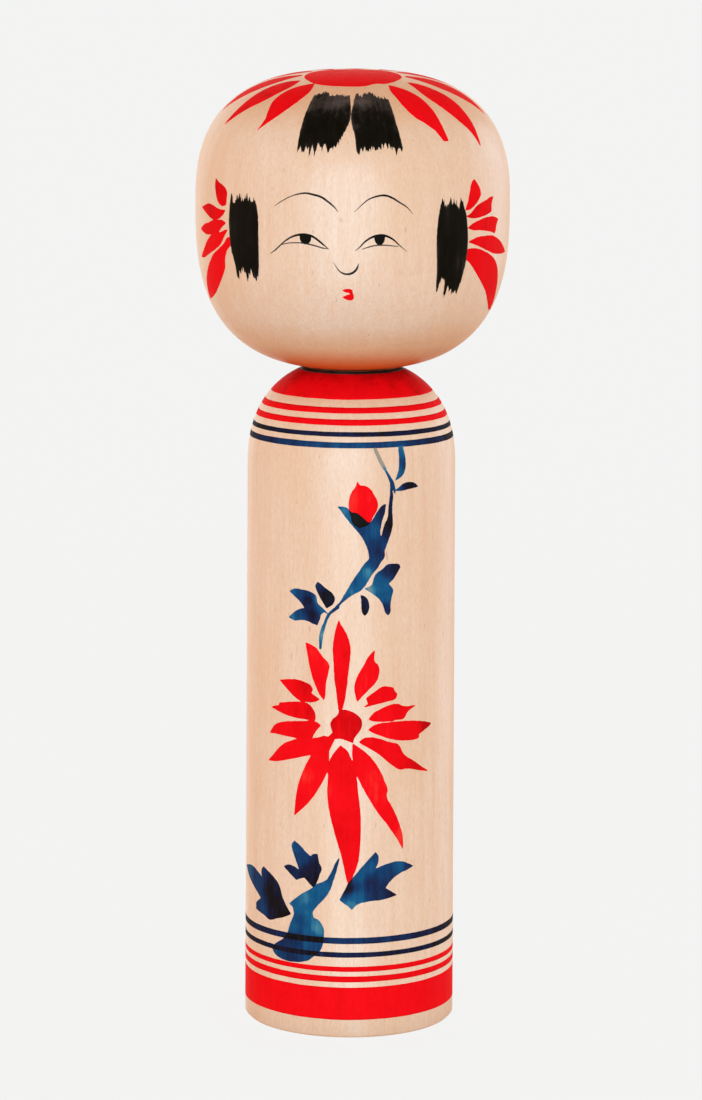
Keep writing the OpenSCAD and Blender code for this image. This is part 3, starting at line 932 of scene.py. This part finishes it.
CROWN = (0.6, -11.6)  # the middle of the flower is painted a little in front of the crown
REAR_ANGLES = (-98, -124, -152, 180, 152, 126, 101)
REAR_START, REAR_WIDTH = 14.0, 7.4
REAR_ENDS = (36.0, 34.5)  # every other rear petal is shorter
CROWN_DISC = (91, [(-11.5, -12.5), (-10.6, -16), (-8.8, -19.4), (-7, -21), (-4, -22.3), (0, -22.9),
    (4, -22.3), (6.5, -20.2), (8.8, -19.4), (10.6, -17.5), (12, -14.5), (12.6, -11), (11.4, -6.6), (8.6, -3),
    (4.8, -0.8), (0.6, -0.2), (-3.8, -0.8), (-7.6, -3.2), (-10.4, -7)], 0.55)
CROWN_PETALS = [
    (92, [(-8.4, -19.4), (-11, -19.6), (-14, -20.1), (-17.5, -22), (-19.5, -24), (-20.8, -27), (-22, -29.4),
     (-24.8, -31.3), (-19, -30.5), (-15, -29), (-12, -27), (-9.5, -24)], 0.6),
    (93, [(-12.2, -15.4), (-15, -14.2), (-19, -14), (-23.5, -15), (-27, -16.4), (-31, -17.6), (-35, -18.3),
     (-31, -19.8), (-26, -21), (-21, -21.5), (-17, -20.3), (-14, -18.5)], 0.7),
    (94, [(9.7, -19.8), (12, -20), (16.5, -21.4), (20, -23.5), (23, -26), (25.5, -28.4), (28.6, -31.2),
     (27.3, -32.4), (24, -31.3), (21, -31), (17.5, -30.5), (14.5, -28.5), (12, -25.5), (10.5, -23)], 0.45),
    (95, [(14, -15.2), (16, -14.3), (21, -14.2), (25.5, -14.8), (30, -16.5), (34, -18.7), (38.8, -22.2),
     (34, -22), (29, -22.4), (24, -22), (19, -20.3), (16, -17.5)], 0.5),
]


def crown_place(angle, out):
    """A place `out` mm from the flower's middle. Its angle runs from the front towards +X."""
    a = math.radians(angle)
    return CROWN[0] + out * math.sin(a), CROWN[1] - out * math.cos(a)


def rear_petal(k, angle):
    """A petal at the back, brushed outwards from the disc."""
    line = [crown_place(angle, REAR_START), crown_place(angle, REAR_ENDS[k % 2])]
    widths = [REAR_WIDTH * share for share in (0.3, 0.8, 1, 0.9, 0.55)]
    return stroke(96 + k, line, [*widths, 0.1], (0.65, 0.45))


def paint_crown():
    on_crown("crown_disc", shape(*CROWN_DISC), 0.45, RED, layer=1)
    front = [shape(*row) for row in CROWN_PETALS]
    rear = [rear_petal(k, angle) for k, angle in enumerate(REAR_ANGLES)]
    on_crown("crown_petals", together(*front, *rear), 0.36, RED)


# ---- floor, light and camera

FLOOR_HALF = 30.0
FLOOR_GLOW = (0.8, 0.828, 0.83)
FLOOR_MATT = (0.13, 0.13, 0.13)
# the walls' colour from straight down, 0, to straight up, 1
WALLS = (
    (0.0, (0.12, 0.06, 0.04)),
    (0.26, (0.8, 0.5, 0.36)),
    (0.42, (1.0, 0.75, 0.6)),
    (0.62, (1.0, 0.74, 0.6)),
    (1.0, (0.45, 0.28, 0.19)),
)
LEFT_TINT = (1.0, 0.98, 0.94)
RIGHT_TINT = (0.96, 1.0, 1.0)
CAMERA_DISTANCE = 1.034
CAMERA_HEIGHT = 0.293
CAMERA_TURN = math.radians(3.0)
CAMERA_TILT = math.radians(9.469)
CAMERA_ROLL = math.radians(0.28)


def add_floor():
    """A plain pale floor, a hair below the foot, that does not tint the doll."""
    n = Nodes(bpy.data.materials.new("pale_floor"))
    glow = n.add("Emission", {"Color": (*FLOOR_GLOW, 1), "Strength": 1.0})
    matt = n.add("BsdfDiffuse", {"Color": (*FLOOR_MATT, 1)})
    material = n.out("Material", n.add("AddShader", {0: glow.outputs[0], 1: matt.outputs[0]}).outputs[0])
    half, below = FLOOR_HALF, -FILM * MM
    corners = [(-half, -half, below), (half, -half, below), (half, half, below), (-half, half, below)]
    floor = mesh_object("floor", corners, [(0, 1, 2, 3)])
    floor.data.materials.append(material)
    floor.visible_diffuse = False
    floor.visible_glossy = False


def sun(name, azimuth, elevation, strength, colour, spread):
    """A soft distant lamp. Azimuth 0 shines from the front, and angles grow towards +X."""
    light = bpy.data.lights.new(name, "SUN")
    light.energy, light.color, light.angle = strength, colour, math.radians(spread)
    obj = bpy.data.objects.new(name, light)
    a, e = math.radians(azimuth), math.radians(elevation)
    obj.rotation_euler = (math.pi / 2 - e, 0, a)
    bpy.context.scene.collection.objects.link(obj)


def add_lights():
    """Three soft windows, and walls all round that are dimmer above, and warm and dark below."""
    sun("window", 0, -2, 2.04, (0.54, 0.88, 1.08), 50)
    sun("window_right", 132, 4, 0.52, (0.5, 0.84, 1.08), 40)
    sun("window_back", 195, 6, 0.5, (0.6, 0.88, 1.0), 60)
    n = Nodes(bpy.data.worlds.new("studio"))
    split = n.add("SeparateXYZ", {"Vector": n.add("TexCoord").outputs["Generated"]})
    walls = n.ramp(n.level(split.outputs["Z"], -1, 1), *WALLS)
    tint = n.mix(n.level(split.outputs["X"], -1, 1), (*LEFT_TINT, 1), (*RIGHT_TINT, 1))
    light = n.add("Background", {"Color": n.mix(1.0, walls, tint, "MULTIPLY"), "Strength": 1.0})
    bpy.context.scene.world = n.out("World", light.outputs[0])


def add_camera():
    lens = bpy.data.cameras.new("camera")
    lens.lens = 135.0
    lens.sensor_width = 36.0
    camera = bpy.data.objects.new("camera", lens)
    x, y = CAMERA_DISTANCE * math.sin(CAMERA_TURN), -CAMERA_DISTANCE * math.cos(CAMERA_TURN)
    turn = Matrix.Rotation(CAMERA_TURN, 4, "Z")
    tilt = Matrix.Rotation(math.pi / 2 - CAMERA_TILT, 4, "X")
    roll = Matrix.Rotation(CAMERA_ROLL, 4, "Z")
    camera.matrix_world = Matrix.Translation((x, y, CAMERA_HEIGHT)) @ turn @ tilt @ roll
    bpy.context.scene.collection.objects.link(camera)
    bpy.context.scene.camera = camera


bare_wood("body", END_GRAIN_AND_SHADE)
# the head's underside gets painted shade and painted red reflected light
bare_wood("head", JAW_SHADE_AND_RED_BOUNCE)
paint_bands()
paint_flower()
paint_vine()
paint_lower_leaves()
paint_face()
paint_hair()
paint_bows()
paint_crown()
add_floor()
add_lights()
add_camera()
bpy.context.scene.view_settings.view_transform = "Standard"
